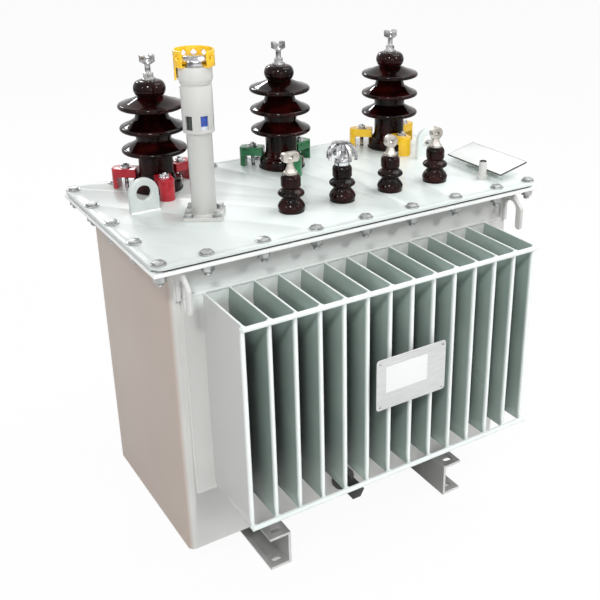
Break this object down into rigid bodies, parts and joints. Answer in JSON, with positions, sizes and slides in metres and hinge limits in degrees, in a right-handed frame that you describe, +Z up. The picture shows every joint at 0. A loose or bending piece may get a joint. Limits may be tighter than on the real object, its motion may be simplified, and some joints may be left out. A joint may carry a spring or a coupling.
{
  "type": "power transformer",
  "caption": "oil-immersed three-phase distribution transformer with corrugated fin walls, porcelain bushings, oil gauge and channel rails",
  "frame": {"origin": "on the floor under the middle of the whole transformer, at the underside of the rails", "axes": "+X along the long front side to the right, +Y to the back, +Z up; the low voltage side faces -Y"},
  "size_m": [0.772, 0.6588, 0.922],
  "materials": {
    "tank_paint": "satin grey stove paint on sheet steel",
    "fin_paint": "grey-green flow-coated paint on pleated sheet",
    "cover_paint": "pale grey satin paint on plate",
    "gasket_rubber": "nitrile cork gasket, matt",
    "rail_paint": "dark grey paint on channel",
    "brown_porcelain": "high-gloss dark brown glaze",
    "tinned_brass": "tin-plated brass, satin",
    "red_paint": "red enamel on cast clamps",
    "green_paint": "green enamel on cast clamps",
    "yellow_paint": "yellow enamel on cast clamps",
    "gauge_paint": "pale grey paint on tube",
    "gauge_glass": "clear gauge body over a blue float",
    "bright_steel": "bright nickel-plated steel",
    "plate_aluminium": "brushed aluminium, clear anodised",
    "white_enamel": "white enamel on sheet",
    "valve_iron": "painted iron, dark"
  },
  "bodies": {
    "root": {"tank_body": "tank_paint", "front_fin_bank": "fin_paint", "back_fin_bank": "fin_paint", "front_fin_rods": "cover_paint", "back_fin_rods": "cover_paint", "tank_flange": "tank_paint", "cover_gasket": "gasket_rubber", "cover_plate": "cover_paint", "left_rail": "rail_paint", "right_rail": "rail_paint", "front_left_hook": "tank_paint", "front_right_hook": "tank_paint", "back_left_hook": "tank_paint", "back_right_hook": "tank_paint", "left_hv_bushing": "brown_porcelain", "middle_hv_bushing": "brown_porcelain", "right_hv_bushing": "brown_porcelain", "left_hv_terminal": "tinned_brass", "middle_hv_terminal": "tinned_brass", "right_hv_terminal": "tinned_brass", "red_clamps": "red_paint", "green_clamps": "green_paint", "yellow_clamps": "yellow_paint", "first_lv_bushing": "brown_porcelain", "second_lv_bushing": "brown_porcelain", "third_lv_bushing": "brown_porcelain", "fourth_lv_bushing": "brown_porcelain", "first_lv_terminal": "tinned_brass", "second_lv_terminal": "bright_steel", "third_lv_terminal": "tinned_brass", "fourth_lv_terminal": "tinned_brass", "gauge_foot_plate": "gauge_paint", "gauge_tube": "gauge_paint", "gauge_window": "gauge_glass", "gauge_head": "gauge_paint", "gauge_cap": "bright_steel", "gauge_guard": "yellow_paint", "left_lifting_lug": "cover_paint", "right_lifting_lug": "cover_paint", "thermometer_pocket": "gauge_paint", "cover_tag": "white_enamel", "cover_tag_bracket": "cover_paint", "rating_plate": "plate_aluminium", "rating_plate_bracket": "fin_paint", "drain_valve": "valve_iron"}
  },
  "joints": []
}
